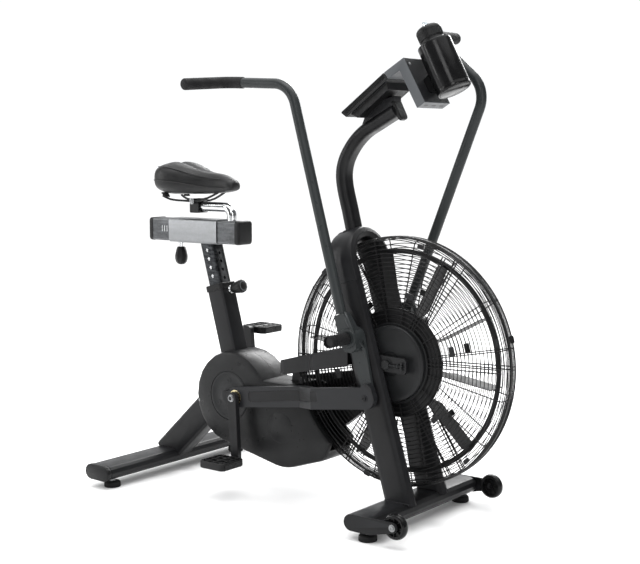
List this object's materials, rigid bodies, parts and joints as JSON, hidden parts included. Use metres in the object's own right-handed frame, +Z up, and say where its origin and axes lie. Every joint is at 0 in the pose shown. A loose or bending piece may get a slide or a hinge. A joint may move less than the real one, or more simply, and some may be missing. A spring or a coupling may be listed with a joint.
{
  "type": "air bike",
  "caption": "Fan-resistance exercise bike with pedals, swinging push-pull arms, adjustable saddle, display and bottle holder on a steel frame.",
  "frame": {"origin": "on the floor, under the middle of the bike's bounding box", "axes": "+X forward to the fan, +Y to the rider's left, +Z up"},
  "size_m": [1.244, 0.636, 1.3059],
  "materials": {
    "powder_coat": "satin black powder coat with a fine grain",
    "black_plastic": "fine-textured moulded black plastic",
    "gloss_black": "smooth gloss black",
    "rubber": "matte black rubber",
    "arm_paint": "satin dark grey paint",
    "chrome": "polished chrome plate with fine brushing",
    "zinc_steel": "zinc-plated steel",
    "brass": "polished bearing bronze",
    "grey_metal": "satin grey paint",
    "display": "smoked display lens with membrane keys",
    "vinyl": "black synthetic leather"
  },
  "bodies": {
    "frame": {"rear_stabilizer": "powder_coat", "rear_cap_right": "black_plastic", "rear_cap_left": "black_plastic", "foot_rear_right": "rubber", "foot_rear_left": "rubber", "foot_front_right": "rubber", "foot_front_left": "rubber", "front_stabilizer": "powder_coat", "fork_leg_right": "powder_coat", "fork_leg_left": "powder_coat", "fork_crown": "powder_coat", "main_frame": "powder_coat", "yoke_beam_right": "powder_coat", "yoke_beam_left": "powder_coat", "mast": "powder_coat", "console_housing": "black_plastic", "display_panel": "display", "console_bracket": "grey_metal", "bottle_holder": "gloss_black", "belt_cover_right": "black_plastic", "belt_cover_left": "black_plastic", "crank_cover_right": "black_plastic", "crank_cover_left": "black_plastic", "primary_belt": "rubber", "fan_belt": "rubber", "fan_belt_cover": "black_plastic", "fan_axle": "zinc_steel", "guard_right": "powder_coat", "guard_left": "powder_coat", "peg_right": "rubber", "peg_left": "rubber"},
    "crank": {"crank_pulley": "black_plastic", "crankshaft": "zinc_steel", "crank_arm_right": "powder_coat", "crank_arm_left": "powder_coat"},
    "right_pedal": {"pedal_right": "black_plastic"},
    "left_pedal": {"pedal_left": "black_plastic"},
    "right_link": {"link_right": "powder_coat", "link_bearing_right": "brass"},
    "left_link": {"link_left": "powder_coat", "link_bearing_left": "brass"},
    "idler": {"idler_pulleys": "zinc_steel"},
    "fan": {"fan_rotor": "black_plastic"},
    "right_arm": {"lever_right": "arm_paint", "handlebar_right": "arm_paint", "grip_right": "rubber"},
    "left_arm": {"lever_left": "arm_paint", "handlebar_left": "arm_paint", "grip_left": "rubber"},
    "seat_post": {"seat_carriage": "chrome"},
    "seat_slider": {"seat_rail": "chrome", "seat_stem": "chrome"},
    "seat": {"saddle_clamp": "black_plastic", "saddle": "vinyl"},
    "height_pin": {"height_knob": "black_plastic"},
    "slider_pin": {"slider_knob": "black_plastic"},
    "right_wheel": {"wheel_right": "gloss_black"},
    "left_wheel": {"wheel_left": "gloss_black"},
    "bottle": {"water_bottle": "black_plastic", "bottle_cap": "gloss_black"}
  },
  "joints": [
    {"name": "crank_spin", "type": "hinge", "parent": "frame", "child": "crank", "pos_m": [-0.274, 0, 0.268], "axis": [0, 1, 0], "continuous": true},
    {"name": "right_pedal_spin", "type": "hinge", "parent": "crank", "child": "right_pedal", "pos_m": [-0.2101, 0, 0.10091], "axis": [0, 1, 0], "continuous": true},
    {"name": "left_pedal_spin", "type": "hinge", "parent": "crank", "child": "left_pedal", "pos_m": [-0.3379, 0, 0.43509], "axis": [0, 1, 0], "continuous": true},
    {"name": "right_link_pivot", "type": "hinge", "parent": "crank", "child": "right_link", "pos_m": [-0.222, 0, 0.2755], "axis": [0, 1, 0], "continuous": true},
    {"name": "left_link_pivot", "type": "hinge", "parent": "crank", "child": "left_link", "pos_m": [-0.326, 0, 0.2605], "axis": [0, 1, 0], "continuous": true},
    {"name": "idler_spin", "type": "hinge", "parent": "frame", "child": "idler", "pos_m": [-0.082, 0, 0.194], "axis": [0, 1, 0], "continuous": true},
    {"name": "fan_spin", "type": "hinge", "parent": "frame", "child": "fan", "pos_m": [0.289, 0, 0.423], "axis": [0, 1, 0], "continuous": true},
    {"name": "right_arm_swing", "type": "hinge", "parent": "frame", "child": "right_arm", "pos_m": [0.212, -0.128, 0.493], "axis": [0, 1, 0], "range_deg": [0, 37.7]},
    {"name": "left_arm_swing", "type": "hinge", "parent": "frame", "child": "left_arm", "pos_m": [0.212, 0.128, 0.493], "axis": [0, 1, 0], "range_deg": [-37.7, 0]},
    {"name": "seat_height", "type": "slide", "parent": "frame", "child": "seat_post", "axis": [-0.2689, 0, 0.9632], "range_m": [-0.03, 0.09]},
    {"name": "seat_fore_aft", "type": "slide", "parent": "seat_post", "child": "seat_slider", "axis": [1, 0, 0], "range_m": [-0.015, 0.065]},
    {"name": "saddle_tilt", "type": "hinge", "parent": "seat_slider", "child": "seat", "pos_m": [-0.443, 0, 0.826], "axis": [0, 1, 0], "range_deg": [-5, 5]},
    {"name": "height_pin_pull", "type": "slide", "parent": "frame", "child": "height_pin", "axis": [0.9632, 0, 0.2689], "range_m": [0, 0.008], "stiffness_N_per_m": 900, "springref_m": -0.004},
    {"name": "slider_pin_pull", "type": "slide", "parent": "seat_post", "child": "slider_pin", "axis": [0, 0, -1], "range_m": [0, 0.008], "stiffness_N_per_m": 900, "springref_m": -0.004},
    {"name": "right_wheel_spin", "type": "hinge", "parent": "frame", "child": "right_wheel", "pos_m": [0.431, -0.2335, 0.056], "axis": [0, 1, 0], "continuous": true},
    {"name": "left_wheel_spin", "type": "hinge", "parent": "frame", "child": "left_wheel", "pos_m": [0.431, 0.2335, 0.056], "axis": [0, 1, 0], "continuous": true},
    {"name": "bottle_lift", "type": "slide", "parent": "frame", "child": "bottle", "axis": [-0.4679, 0, 0.8838], "range_m": [0, 0.16]}
  ],
  "couplings": [
    {"joint": "right_link_pivot", "follows": "crank_spin", "ratio": -1},
    {"joint": "left_link_pivot", "follows": "crank_spin", "ratio": -1},
    {"joint": "idler_spin", "follows": "crank_spin", "ratio": 3.1667},
    {"joint": "fan_spin", "follows": "crank_spin", "ratio": 8.2099},
    {"joint": "left_arm_swing", "follows": "right_arm_swing", "ratio": -1}
  ]
}
